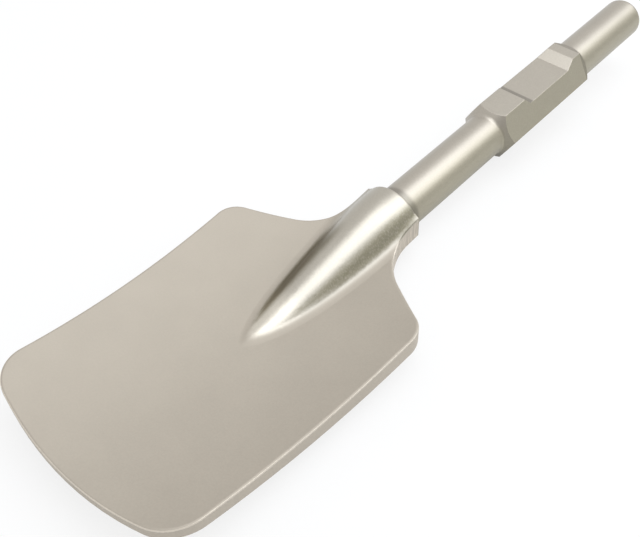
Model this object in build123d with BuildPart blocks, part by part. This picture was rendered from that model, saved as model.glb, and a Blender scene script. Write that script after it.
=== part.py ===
"""Spade chisel for a demolition hammer: one forging, a hexagon shank with a dished spade."""

import os
from math import acos, atan2, cos, degrees, hypot, radians, sin, sqrt, tan

from build123d import *

# All sizes are in millimetres and degrees. While it is built, the shank's axis is the Y axis,
# the nose points along +Y, and Y = 0 is the end face of the barrel, where the rod leaves it.

# Round rod between the barrel and the hexagon
rod_diameter = 25.0
rod_length = 83.5
rod_root_radius = 1.2

# Hexagon, with ends turned to a cone, and the plain nose behind it
hex_across_flats = 30.0
hex_length = 84.5
hex_front_angle = 45.0
hex_front_radius = 3.0
hex_back_angle = 45.0
nose_diameter = 25.0
nose_length = 71.0
nose_end_radius = 3.0

# Retaining notch in the top flat
notch_offset = 24.0
notch_depth = 3.5
notch_floor_length = 39.5
notch_front_angle = 44.0
notch_back_angle = 25.0

# Barrel, the rib that runs down from it into the dish, and the keel under it
barrel_diameter = 34.4
barrel_length = 14.0
barrel_rim_radius = 0.8
rib_crest_angle = 11.65
rib_taper_angle = 4.0
rib_fade = 3.0
rib_sink = 1.2
rib_foot_radius = 8.0
rib_steps = 8
keel_angle = 5.5
keel_foot_radius = 10.0

# Outline of the spade, seen from above
neck_width = 34.6
neck_length = 28.1
neck_fillet = 36.0
shoulder_slope = 31.4
shoulder_width = 128.2
shoulder_corner_radius = 15.0
side_taper_angle = 1.6
spade_length = 211.7
edge_bow_radius = 185.0
edge_corner_radius = 20.0

# Dish of the spade: how its upper face bends, towards the barrel, towards the cutting edge and across,
# where that is lowest and how far under the shank's axis
dish_back_radius = 500.0
dish_front_radius = 415.0
dish_cross_radius = 181.0
dish_low_y = -88.5
dish_drop = 1.9

# Thickness of its plate, straight down from the upper face: at Y = 0, half way and at the cutting edge
neck_thickness = 8.5
middle_thickness = 9.0
edge_thickness = 6.0

# Rim of the plate, rounded above and trimmed sharp below, and the stock that is trimmed off all round
rim_radius = 1.0
flash_width = 10.0

# How near two places have to be to count as the same
closeness = 0.001

# Sizes that follow from the ones above
rod_radius = rod_diameter / 2
nose_radius = nose_diameter / 2
barrel_radius = barrel_diameter / 2
flat_height = hex_across_flats / 2
corner_height = flat_height / cos(radians(30))
hex_start = rod_length
hex_end = hex_start + hex_length
hex_front_run = (corner_height - rod_radius) / tan(radians(hex_front_angle))
hex_back_run = (corner_height - flat_height) / tan(radians(hex_back_angle))
notch_floor = flat_height - notch_depth
notch_start = hex_start + notch_offset
notch_floor_start = notch_start + notch_depth / tan(radians(notch_front_angle))
notch_floor_end = notch_floor_start + notch_floor_length
notch_end = notch_floor_end + notch_depth / tan(radians(notch_back_angle))
half_neck = neck_width / 2
half_shoulder = shoulder_width / 2
shoulder_y = -neck_length - (half_shoulder - half_neck) * tan(radians(shoulder_slope))
rib_run = (barrel_radius + dish_drop + middle_thickness / 2) / tan(radians(rib_crest_angle))


def top_height(y):
    """Height of the plate's upper face along the middle of the spade."""
    long_radius = dish_back_radius if y > dish_low_y else dish_front_radius
    return long_radius - dish_drop - sqrt(long_radius**2 - (y - dish_low_y) ** 2)


def under_height(y):
    """Height of the plate's underside along the middle of the spade."""
    return under_centre.Z - sqrt(under_bend.radius**2 - (y - under_centre.Y) ** 2)


def dish_section(low, cross_radius, long_radius):
    """Cross section from the lowest line of a face of the plate up to the axis that it bends about."""
    side = half_shoulder + flash_width
    side_height = low.Z + cross_radius - sqrt(cross_radius**2 - side**2)
    axis_height = low.Z + long_radius
    with BuildSketch(Plane.XZ.offset(-low.Y)) as section:
        with BuildLine():
            ThreePointArc((-side, side_height), (0, low.Z), (side, side_height))
            Polyline((side, side_height), (side, axis_height), (-side, axis_height), (-side, side_height))
        make_face()
    return section.sketch


def rib_section(y):
    """Cross section of the barrel or the rib: an arc over the middle of the plate and one under it."""
    fall = max(0, -y - barrel_length)
    top = top_height(y)
    middle = (top + under_height(y)) / 2
    above = barrel_radius - fall * tan(radians(rib_crest_angle)) - (top - rib_sink)
    crest = barrel_radius if fall == 0 else top - rib_sink + (above + hypot(above, rib_fade)) / 2
    radius = barrel_radius - fall * tan(radians(rib_taper_angle))
    keel = min(-barrel_radius - y * tan(radians(keel_angle)), (middle + under_height(y)) / 2)
    half = sqrt(radius**2 - (crest - radius - middle) ** 2)
    with BuildSketch(Plane.XZ.offset(-y)) as section:
        with BuildLine():
            ThreePointArc((-half, middle), (0, crest), (half, middle))
            ThreePointArc((half, middle), (0, keel), (-half, middle))
        make_face()
    return section.sketch


def rib_foot(plate, way):
    """Edges along the foot of the rib on the plate's upper face, way 1, or on its underside, way -1."""
    found = []
    for face in plate.faces():
        if face.geom_type in (GeomType.TORUS, GeomType.REVOLUTION) and way * face.normal_at().Z > 0:
            for edge in face.edges().filter_by(GeomType.CIRCLE, reverse=True):
                if edge.bounding_box().size.X < barrel_diameter:
                    found.append(edge)
    return found


def upper_rim(plate):
    """Edges along the top of the walls that the trimming leaves round the spade."""
    upright = plate.faces().filter_by(lambda face: abs(face.normal_at().Z) < closeness)
    found = []
    for wall in upright.sort_by(Axis.Y)[:-1]:
        for edge in wall.edges().filter_by(Axis.Z, reverse=True):
            if edge.center().Z > wall.center().Z:
                found.append(edge)
    return found


# How the plate's underside bends along the spade, and where each face is lowest
under_bend = ThreePointArc(
    (0, 0, top_height(0) - neck_thickness),
    (0, -spade_length / 2, top_height(-spade_length / 2) - middle_thickness),
    (0, -spade_length, top_height(-spade_length) - edge_thickness),
)
under_centre = under_bend.arc_center
under_low = under_centre - Vector(0, 0, under_bend.radius)
top_low = Vector(0, dish_low_y, -dish_drop)

# Outline: neck, sloping shoulders, sides that lean in a little, and a bowed cutting edge
with BuildSketch() as outline:
    neck = Vector(half_neck, -neck_length)
    shoulder = Vector(half_shoulder, shoulder_y)
    side_lean = Vector(-sin(radians(side_taper_angle)), -cos(radians(side_taper_angle)))
    from_bow_centre = shoulder - Vector(0, edge_bow_radius - spade_length)
    lead = from_bow_centre.dot(side_lean)
    side_length = sqrt(lead**2 + edge_bow_radius**2 - from_bow_centre.length**2) - lead
    edge_corner = shoulder + side_lean * side_length
    with BuildLine():
        Polyline((0, 0), (half_neck, 0), neck, shoulder, edge_corner)
        RadiusArc(edge_corner, (0, -spade_length), edge_bow_radius)
        Line((0, -spade_length), (0, 0))
    make_face()
    for corner, radius in (
        (neck, neck_fillet),
        (shoulder, shoulder_corner_radius),
        (edge_corner, edge_corner_radius),
    ):
        fillet(outline.vertices().sort_by_distance(corner)[0], radius)
    mirror(about=Plane.YZ)

# Spade: a plate between two faces bent both ways, with the rib along its middle, trimmed all round
with BuildPart() as spade:
    for low, cross_radius, back_radius, front_radius, mode in (
        (under_low, dish_cross_radius + middle_thickness, under_bend.radius, under_bend.radius, Mode.ADD),
        (top_low, dish_cross_radius, dish_back_radius, dish_front_radius, Mode.SUBTRACT),
    ):
        for long_radius, way in ((back_radius, 1), (front_radius, -1)):
            bend_axis = Axis(low + Vector(0, 0, long_radius), (1, 0, 0))
            reach = way * degrees(spade_length / long_radius)
            revolve(dish_section(low, cross_radius, long_radius), axis=bend_axis, revolution_arc=reach, mode=mode)
    split(bisect_by=Plane.XZ, keep=Keep.TOP)

    rib_stations = [0, -barrel_length / 2]
    for step in range(1, rib_steps + 1):
        rib_stations.append(-barrel_length - rib_run * step / rib_steps)
    loft([rib_section(y) for y in rib_stations])
    fillet(rib_foot(spade, 1), rib_foot_radius)
    fillet(rib_foot(spade, -1), keel_foot_radius)

    extrude(outline.sketch, amount=spade_length / 2, both=True, mode=Mode.INTERSECT)
    fillet(upper_rim(spade), rim_radius)

    # The barrel's rim is rounded above and below, as far as the plate leaves it free
    for side, foot_height, foot_radius in (
        (1, top_height(0) + rib_foot_radius, rib_foot_radius),
        (-1, under_height(0) - keel_foot_radius, keel_foot_radius),
    ):
        free = degrees(acos(side * foot_height / (barrel_radius + foot_radius)))
        with BuildSketch(Plane.YZ) as rim_profile:
            with BuildLine():
                outer = side * (barrel_radius + flash_width)
                rim_arc = RadiusArc(
                    (-barrel_rim_radius, side * barrel_radius),
                    (0, side * (barrel_radius - barrel_rim_radius)),
                    side * barrel_rim_radius,
                )
                Polyline(rim_arc @ 1, (0, outer), (-flash_width, outer), rim_arc @ 0)
            make_face()
        revolve(rim_profile.sketch, axis=Axis.Y, revolution_arc=free, mode=Mode.SUBTRACT)
        revolve(rim_profile.sketch, axis=Axis.Y, revolution_arc=-free, mode=Mode.SUBTRACT)

# Shank: a hexagon turned to a cone at both ends and notched on top, with a round rod and a nose
with BuildPart() as shank:
    with BuildSketch(Plane.XZ.offset(-hex_start)):
        RegularPolygon(radius=flat_height, side_count=6, major_radius=False)
    extrude(amount=-hex_length)
    with BuildSketch(Plane.YZ):
        with BuildLine():
            Polyline(
                (hex_start, 0),
                (hex_start, rod_radius),
                (hex_start + hex_front_run, corner_height),
                (hex_end - hex_back_run, corner_height),
                (hex_end, flat_height),
                (hex_end, 0),
                close=True,
            )
        make_face()
    revolve(axis=Axis.Y, mode=Mode.INTERSECT)
    with BuildSketch(Plane.YZ):
        with BuildLine():
            Polyline(
                (notch_start, flat_height),
                (notch_floor_start, notch_floor),
                (notch_floor_end, notch_floor),
                (notch_end, flat_height),
                close=True,
            )
        make_face()
    extrude(amount=corner_height, both=True, mode=Mode.SUBTRACT)
    with BuildSketch(Plane.XZ.offset(barrel_length)):
        Circle(rod_radius)
    extrude(amount=-barrel_length - rod_length)
    circles = shank.edges().filter_by(GeomType.CIRCLE)
    fillet(circles.filter_by_position(Axis.Y, hex_start - closeness, hex_start + closeness), hex_front_radius)
    with BuildSketch(Plane.XZ.offset(-hex_end)):
        Circle(nose_radius)
    extrude(amount=-nose_length)
    fillet(shank.edges().sort_by(Axis.Y)[-1], nose_end_radius)

# One forging, the spade and the shank
with BuildPart() as forging:
    add(spade)
    add(shank)
    circles = forging.edges().filter_by(GeomType.CIRCLE)
    barrel_end_circles = circles.filter_by_position(Axis.Y, -closeness, closeness)
    fillet(barrel_end_circles.group_by(SortBy.RADIUS)[0], rod_root_radius)

# It lies on the barrel's lower edge and the underside of the dish, the nose raised a little.
# The origin is the middle of its footprint, on the surface that it lies on.
to_centre = under_centre + Vector(0, 0, barrel_radius)
lean = acos(under_bend.radius / to_centre.length) - atan2(-to_centre.Y, to_centre.Z)
resting = forging.part.rotate(Axis.X, degrees(lean))
with BuildPart() as spade_chisel:
    with Locations((0, -resting.bounding_box().center().Y, barrel_radius * cos(lean))):
        add(resting)

os.makedirs("parts", exist_ok=True)
spade_chisel.part.label = "spade_chisel"
export_step(spade_chisel.part, "parts/spade_chisel.step")
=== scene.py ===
"""Spade chisel: its blasted and ground steel, a pale floor, soft light and the camera. Sizes are in metres."""

from math import radians

import bpy
from mathutils import Matrix, Vector

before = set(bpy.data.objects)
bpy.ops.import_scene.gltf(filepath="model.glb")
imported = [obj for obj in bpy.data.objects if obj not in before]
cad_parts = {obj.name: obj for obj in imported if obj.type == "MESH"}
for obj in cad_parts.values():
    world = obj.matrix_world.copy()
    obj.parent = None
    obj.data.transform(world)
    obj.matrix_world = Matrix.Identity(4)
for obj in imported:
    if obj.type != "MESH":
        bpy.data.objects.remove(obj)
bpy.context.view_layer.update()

# Camera: where it stands, the point it looks at, and the photo's frame
camera_place = Vector((0.1999, -0.2917, 0.3278))
camera_target = Vector((-0.0123, -0.0569, 0.0))
camera_roll = radians(0.4)
focal_pixels = 870
frame_width = 640
sensor_width = 36.0

# The middle of the barrel's end face, and how far the shank leans back from level
barrel_end = (0.0, -0.01344, 0.01717)
shank_lean = radians(3.6)

# Dish of the spade, as in the solid
dish_cross_radius = 0.181
dish_front_radius = 0.415
dish_back_radius = 0.500
dish_low_y = -0.0885
dish_drop = 0.0019

# Colours of the steel, with a painted dark reflection on the rib's right flank and painted shade in the rib's left
# crease and on the shank's right side
matt_colour = (0.445, 0.405, 0.349)
rib_colour = (0.436, 0.407, 0.353)
# A painted dark reflection on the rib's right flank
flank_painted_reflection_colour = (0.255, 0.237, 0.172)
# Painted shade in the crease at the left foot of the rib
crease_painted_shade_colour = (0.185, 0.165, 0.120)
shank_colour = (0.420, 0.387, 0.336)
# Painted shade on the right side of the shank
shank_side_painted_shade_colour = (0.375, 0.345, 0.270)

# How rough the steel is, and how much smoother its upper rim is
matt_roughness = 0.70
rib_roughness = 0.35
shank_roughness = 0.40
rim_roughness_share = 0.5
edge_radius = 0.0005

# Where each finish, painted shade and painted highlight begins and where it is whole: places along the shank and
# heights above the dish in metres, the others as the part of a face's normal that points right, back or up
shank_along = (-0.0012, 0.0003)
rib_height = (0.00005, 0.0018)
wall_up = (0.25, 0.08)
neck_along = (-0.048, -0.030)
rim_above_wall = (0.15, 0.4)
rim_below_plate = (0.92, 0.8)
flank_right = (0.45, 0.75)
flank_up = (0.2, 0.4)
crease_right = (-0.18, -0.55)
crease_up = (0.1, 0.3)
crease_height = (0.0002, 0.0009)
crease_along = (-0.026, -0.045)
foot_right = (0.05, 0.3)
foot_height = (0.0036, 0.0012)
tip_along = (-0.068, -0.092)
side_right = (0.25, 0.85)
cone_back = (-0.3, -0.55)
cone_right = (0.1, 0.45)
notch_up = (0.80, 0.95)

# How much lighter or darker some places are: lighter walls and neck lines, painted highlights on the rim and the
# rib's tip, and painted shade at the rib's foot, on the hexagon's front cone and in recesses
wall_shade = 1.2
neck_lines_shade = (0.92, 1.18)
# Painted highlight along the upper rim
rim_painted_highlight = 1.4
# Painted highlight on the rib's tip
tip_painted_highlight = 1.32
# Painted shade on the rib's right foot
foot_painted_shade = 0.84
# Painted shade on the hexagon's front cone, on its right
cone_painted_shade = 0.72
# Painted shade in recesses, from ambient occlusion
recess_painted_shade = 0.45
recess_reach = 0.007
recess_open = (0.3, 0.85)

# Painted shade in corners of the shank, each from its darkest place along the shank to where it ends, and how
# dark: behind the barrel, behind the hexagon, and at the front of the notch's floor
behind_barrel = (0.0045, 0.0085, 0.66)
behind_hexagon = (0.1685, 0.1735, 0.74)
notch_corner = (0.1132, 0.1147, 0.62)
corner_lead = (-0.0035, -0.0030)

# Light
room_strength = 0.75
softbox_place = Vector((0.27, 0.45, 1.25))
softbox_size = (1.15, 1.9)
softbox_power = 14.5
softbox_colour = (0.95, 1.0, 1.06)
floor_colour = (0.85, 0.85, 0.85, 1)
floor_glow = 0.8
floor_size = 20.0

# Pale wall behind the right side, which the camera doesn't see
wall_colour = (0.88, 0.88, 0.88, 1)
wall_size = (3.0, 0.62)
wall_distance = 1.7
wall_bearing = radians(-55)

white = (1, 1, 1, 1)


def add_node(tree, kind, inputs=None, **settings):
    """Adds one node. inputs maps a socket's name or number to a value or to another node's socket."""
    node = tree.nodes.new("ShaderNode" + kind)
    for name, value in settings.items():
        setattr(node, name, value)
    for key, value in (inputs or {}).items():
        connect(tree, node.inputs[key], value)
    return node


def connect(tree, socket, value):
    """Gives a socket a value, or a link from another node's socket."""
    if isinstance(value, bpy.types.NodeSocket):
        tree.links.new(value, socket)
    else:
        socket.default_value = value


def math(tree, operation, *values):
    """The result of one Math node."""
    return add_node(tree, "Math", dict(enumerate(values)), operation=operation).outputs[0]


def product(tree, *values):
    """Several values multiplied."""
    result = values[0]
    for value in values[1:]:
        result = math(tree, "MULTIPLY", result, value)
    return result


def ramp(tree, value, low, high, to_low=0.0, to_high=1.0):
    """A value eased from one level to another while the input goes from low to high."""
    limits = {"Value": value, "From Min": low, "From Max": high, "To Min": to_low, "To Max": to_high}
    return add_node(tree, "MapRange", limits, interpolation_type="SMOOTHSTEP").outputs["Result"]


def noise(tree, place, size, stretch=(1, 1, 1), detail=3.0, roughness=0.55):
    """Noise whose grains are about size across, and longer where stretch is above 1."""
    scale = [1 / (size * factor) for factor in stretch]
    scaled = add_node(tree, "Mapping", {"Vector": place, "Scale": scale})
    inputs = {"Vector": scaled.outputs[0], "Scale": 1.0, "Detail": detail, "Roughness": roughness}
    return add_node(tree, "TexNoise", inputs).outputs[0]


def mix_value(tree, factor, first, second):
    """A value between two values."""
    return add_node(tree, "Mix", {"Factor": factor, 2: first, 3: second}).outputs[0]


def mix_colour(tree, factor, first, second):
    """A colour between the first, which may come from another node, and the second."""
    node = add_node(tree, "Mix", {"Factor": factor}, data_type="RGBA")
    connect(tree, node.inputs[6], first if isinstance(first, bpy.types.NodeSocket) else (*first, 1))
    connect(tree, node.inputs[7], (*second, 1))
    return node.outputs[2]


def new_tree(name):
    """A new node material without nodes, and its tree."""
    material = bpy.data.materials.new(name)
    material.use_nodes = True
    material.node_tree.nodes.clear()
    return material, material.node_tree


def height_above_dish(tree, place):
    """How far a point stands above the dish, which bends across and, with two radii, along."""
    x, y, z = add_node(tree, "SeparateXYZ", {0: place}).outputs
    behind = math(tree, "GREATER_THAN", y, dish_low_y)
    long_radius = math(tree, "MULTIPLY_ADD", behind, dish_back_radius - dish_front_radius, dish_front_radius)
    centre_z = math(tree, "SUBTRACT", long_radius, dish_drop)
    along = math(tree, "POWER", math(tree, "SUBTRACT", y, dish_low_y), 2.0)
    up = math(tree, "POWER", math(tree, "SUBTRACT", centre_z, z), 2.0)
    to_centre = math(tree, "SQRT", math(tree, "ADD", along, up))
    across = math(tree, "SQRT", math(tree, "SUBTRACT", dish_cross_radius**2, math(tree, "MULTIPLY", x, x)))
    sag = math(tree, "SUBTRACT", dish_cross_radius, across)
    return math(tree, "SUBTRACT", math(tree, "SUBTRACT", long_radius, sag), to_centre)


def steel_finishes_and_painted_light(tree, place):
    """How much of each finish, painted shade and painted highlight there is, from 0 to 1, by name."""
    height = height_above_dish(tree, place)
    y = add_node(tree, "SeparateXYZ", {0: place}).outputs["Y"]
    normal = add_node(tree, "NewGeometry").outputs["Normal"]
    right, back, up = add_node(tree, "SeparateXYZ", {0: normal}).outputs

    shank = ramp(tree, y, *shank_along)
    spade = math(tree, "SUBTRACT", 1.0, shank)
    rib = ramp(tree, height, *rib_height)
    plate = product(tree, spade, math(tree, "SUBTRACT", 1.0, rib))
    wall = product(tree, spade, ramp(tree, math(tree, "ABSOLUTE", up), *wall_up))
    finishes_and_painted_light = {
        "shank": shank,
        "spade": spade,
        "rib": rib,
        "plate": plate,
        "wall": wall,
        "neck": product(tree, wall, ramp(tree, y, *neck_along)),
        # Upper rim: smoother, with a painted highlight
        "rim": product(tree, ramp(tree, up, *rim_above_wall), ramp(tree, up, *rim_below_plate), plate),
        # Painted dark reflection: faces of the rib turned to the right
        "flank": product(tree, ramp(tree, right, *flank_right), ramp(tree, up, *flank_up), rib, spade),
        # Painted shade: the crease at the rib's left foot
        "crease": product(
            tree,
            ramp(tree, right, *crease_right),
            ramp(tree, up, *crease_up),
            ramp(tree, height, *crease_height),
            ramp(tree, y, *crease_along),
        ),
        # Painted shade: the rib's foot on the right
        "foot": product(tree, ramp(tree, right, *foot_right), ramp(tree, height, *foot_height), rib, spade),
        # Painted highlight: the rib's tip
        "tip": product(tree, rib, ramp(tree, y, *tip_along), spade),
        # Painted shade: the shank's faces turned to the right
        "side": product(tree, ramp(tree, right, *side_right), shank),
        # Painted shade: the hexagon's front cone on the right
        "cone": product(tree, ramp(tree, back, *cone_back), ramp(tree, right, *cone_right), shank),
    }
    # Painted shade in corners of the shank
    corners = {"behind_barrel": behind_barrel, "behind_hexagon": behind_hexagon, "notch_corner": notch_corner}
    for name, (darkest, end, _) in corners.items():
        lead = ramp(tree, y, darkest + corner_lead[0], darkest + corner_lead[1])
        finishes_and_painted_light[name] = product(tree, lead, ramp(tree, y, end, darkest))
    finishes_and_painted_light["notch_corner"] = product(tree, finishes_and_painted_light["notch_corner"], ramp(tree, up, *notch_up))
    return finishes_and_painted_light


def steel_shade(tree, place, finishes_and_painted_light, speckle, sheared):
    """How light the steel is: soft patches, a fine grain, lighter walls with sheared lines, a painted highlight on
    the rim and the rib's tip, and painted shade at the rib's foot, on the hexagon's front cone, in recesses and in
    corners of the shank.
    """
    patches = noise(tree, place, 0.030)
    shade = product(tree, ramp(tree, patches, 0.3, 0.7, 0.985, 1.015), ramp(tree, speckle, 0.25, 0.75, 0.96, 1.04))
    lines = ramp(tree, sheared, 0.3, 0.7, *neck_lines_shade)
    shade = product(tree, shade, mix_value(tree, finishes_and_painted_light["neck"], 1.0, lines))
    # Lighter walls, painted highlights on the rim and the rib's tip, painted shade on the rib's foot, the
    # hexagon's front cone and corners of the shank
    for name, level in (
        ("wall", wall_shade),
        ("rim", rim_painted_highlight),
        ("tip", tip_painted_highlight),
        ("foot", foot_painted_shade),
        ("cone", cone_painted_shade),
        ("behind_barrel", behind_barrel[-1]),
        ("behind_hexagon", behind_hexagon[-1]),
        ("notch_corner", notch_corner[-1]),
    ):
        shade = product(tree, shade, ramp(tree, finishes_and_painted_light[name], 0.0, 1.0, 1.0, level))
    # Painted shade in recesses, from ambient occlusion
    recess = add_node(tree, "AmbientOcclusion", {"Distance": recess_reach}, samples=8, only_local=True)
    return product(tree, shade, ramp(tree, recess.outputs["AO"], *recess_open, recess_painted_shade, 1.0))


def steel_colour(tree, place, finishes_and_painted_light, shade):
    """The colour of each finish, with a painted dark reflection on the rib's right flank and painted shade in its
    left crease and on the shank's right side, lighter or darker by the shade.
    """
    # Streaks in the painted dark reflection on the rib's right flank
    streaks = noise(tree, place, 0.0009, stretch=(1, 1, 3), detail=4.0)
    streaked = product(tree, finishes_and_painted_light["flank"], ramp(tree, streaks, 0.25, 0.6, 0.55, 1.0))
    steel = matt_colour
    for where, colour in (
        (finishes_and_painted_light["rib"], rib_colour),
        (finishes_and_painted_light["shank"], shank_colour),
        (finishes_and_painted_light["side"], shank_side_painted_shade_colour),
        (streaked, flank_painted_reflection_colour),
        (finishes_and_painted_light["crease"], crease_painted_shade_colour),
    ):
        steel = mix_colour(tree, where, steel, colour)
    return add_node(tree, "VectorMath", {0: steel, "Scale": shade}, operation="SCALE").outputs[0]


def steel_relief(tree, place, finishes_and_painted_light, sheared):
    """Small unevenness of each finish, one bump on the other, on edges that are rounded a little."""
    relief = add_node(tree, "Bevel", {"Radius": edge_radius}, samples=6).outputs[0]
    blasted = noise(tree, place, 0.0014, detail=4.0, roughness=0.65)
    hammered = noise(tree, place, 0.0012, stretch=(1, 1, 2), detail=4.0)
    turned = noise(tree, place, 0.0006, stretch=(30, 1, 30), detail=2.0)
    for grains, depth, where in (
        (blasted, 0.00003, ramp(tree, finishes_and_painted_light["plate"], 0.0, 1.0, 0.2, 1.0)),
        (hammered, 0.00009, finishes_and_painted_light["flank"]),
        (sheared, 0.00008, ramp(tree, finishes_and_painted_light["neck"], 0.0, 1.0, 0.08, 1.0)),
        (turned, 0.000008, finishes_and_painted_light["shank"]),
    ):
        inputs = {"Height": grains, "Strength": where, "Distance": depth, "Normal": relief}
        relief = add_node(tree, "Bump", inputs).outputs[0]
    return relief


def steel_roughness(tree, finishes_and_painted_light, speckle):
    """How rough the steel is: matt on the plate, smoother on the rib, the shank and the rim."""
    smoother = ramp(tree, finishes_and_painted_light["rib"], 0.0, 1.0, 1.0, rib_roughness / matt_roughness)
    on_shank = product(tree, finishes_and_painted_light["shank"], shank_roughness / matt_roughness)
    share = math(tree, "ADD", product(tree, smoother, finishes_and_painted_light["spade"]), on_shank)
    on_rim = ramp(tree, finishes_and_painted_light["rim"], 0.0, 1.0, 1.0, rim_roughness_share)
    return product(tree, share, on_rim, ramp(tree, speckle, 0.3, 0.7, 0.97, 1.03), matt_roughness)


def steel_material():
    """Steel: blasted matt on the spade, smoother on the rib and the shank, sheared on the trimmed walls."""
    material, tree = new_tree("spade_steel")
    object_place = add_node(tree, "TexCoord").outputs["Object"]
    shank_frame = {"Vector": object_place, "Location": barrel_end, "Rotation": (shank_lean, 0, 0)}
    place = add_node(tree, "Mapping", shank_frame, vector_type="TEXTURE").outputs[0]
    finishes_and_painted_light = steel_finishes_and_painted_light(tree, place)
    speckle = noise(tree, place, 0.0009, detail=2.0)
    sheared = noise(tree, place, 0.0008, stretch=(1, 1, 14), detail=2.0)
    shade = steel_shade(tree, place, finishes_and_painted_light, speckle, sheared)
    inputs = {
        "Base Color": steel_colour(tree, place, finishes_and_painted_light, shade),
        "Metallic": 1.0,
        "Roughness": steel_roughness(tree, finishes_and_painted_light, speckle),
        "Normal": steel_relief(tree, place, finishes_and_painted_light, sheared),
    }
    shader = add_node(tree, "BsdfPrincipled", inputs)
    add_node(tree, "OutputMaterial", {"Surface": shader.outputs[0]})
    return material


def make_floor():
    """A plain pale floor, white to the camera where no shadow falls."""
    bpy.ops.mesh.primitive_plane_add(size=floor_size, location=(0, 0, 0))
    floor = bpy.context.object
    floor.name = "floor"
    material, tree = new_tree("pale_floor")
    matt = add_node(tree, "BsdfDiffuse", {"Color": floor_colour}).outputs[0]
    glow = add_node(tree, "Emission", {"Color": white, "Strength": 1.0}).outputs[0]
    seen = product(tree, add_node(tree, "LightPath").outputs["Is Camera Ray"], floor_glow)
    shader = add_node(tree, "MixShader", {0: seen, 1: matt, 2: glow})
    add_node(tree, "OutputMaterial", {"Surface": shader.outputs[0]})
    floor.data.materials.append(material)


def make_wall():
    """A low pale wall, which only reflections and light see."""
    bpy.ops.mesh.primitive_plane_add(size=1.0)
    wall = bpy.context.object
    wall.name = "wall"
    wall.scale = (*wall_size, 1)
    wall.location = Matrix.Rotation(wall_bearing, 4, "Z") @ Vector((0, wall_distance, wall_size[1] / 2))
    wall.rotation_euler = (radians(90), 0, wall_bearing)
    wall.visible_camera = False
    material, tree = new_tree("pale_wall")
    shader = add_node(tree, "BsdfDiffuse", {"Color": wall_colour})
    add_node(tree, "OutputMaterial", {"Surface": shader.outputs[0]})
    wall.data.materials.append(material)


def make_room():
    """White surroundings: as written to the camera and in reflections, softer as light."""
    world = bpy.data.worlds.new("room")
    bpy.context.scene.world = world
    world.use_nodes = True
    tree = world.node_tree
    tree.nodes.clear()
    rays = add_node(tree, "LightPath").outputs
    seen = math(tree, "MAXIMUM", rays["Is Camera Ray"], rays["Is Glossy Ray"])
    seen = math(tree, "MAXIMUM", seen, rays["Is Transmission Ray"])
    strength = math(tree, "MULTIPLY_ADD", seen, 1.0 - room_strength, room_strength)
    background = add_node(tree, "Background", {"Color": white, "Strength": strength})
    add_node(tree, "OutputWorld", {"Surface": background.outputs[0]})


def make_softbox():
    """One large soft light above the shank."""
    light = bpy.data.lights.new("softbox", "AREA")
    light.shape = "RECTANGLE"
    light.size, light.size_y = softbox_size
    light.energy = softbox_power
    light.color = softbox_colour
    lamp = bpy.data.objects.new("softbox", light)
    bpy.context.scene.collection.objects.link(lamp)
    lamp.location = softbox_place
    lamp.rotation_euler = (-softbox_place).to_track_quat("-Z", "Y").to_euler()


def make_camera():
    """The camera at the photo's angle."""
    data = bpy.data.cameras.new("camera")
    camera = bpy.data.objects.new("camera", data)
    bpy.context.scene.collection.objects.link(camera)
    data.sensor_width = sensor_width
    data.lens = focal_pixels / frame_width * sensor_width
    aim = (camera_target - camera_place).to_track_quat("-Z", "Y")
    camera.location = camera_place
    camera.rotation_euler = (aim.to_matrix() @ Matrix.Rotation(camera_roll, 3, "Z")).to_euler()
    bpy.context.scene.camera = camera


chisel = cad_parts["spade_chisel"]
chisel.data.materials.clear()
chisel.data.materials.append(steel_material())
make_floor()
make_wall()
make_room()
make_softbox()
make_camera()
bpy.context.scene.view_settings.view_transform = "Standard"
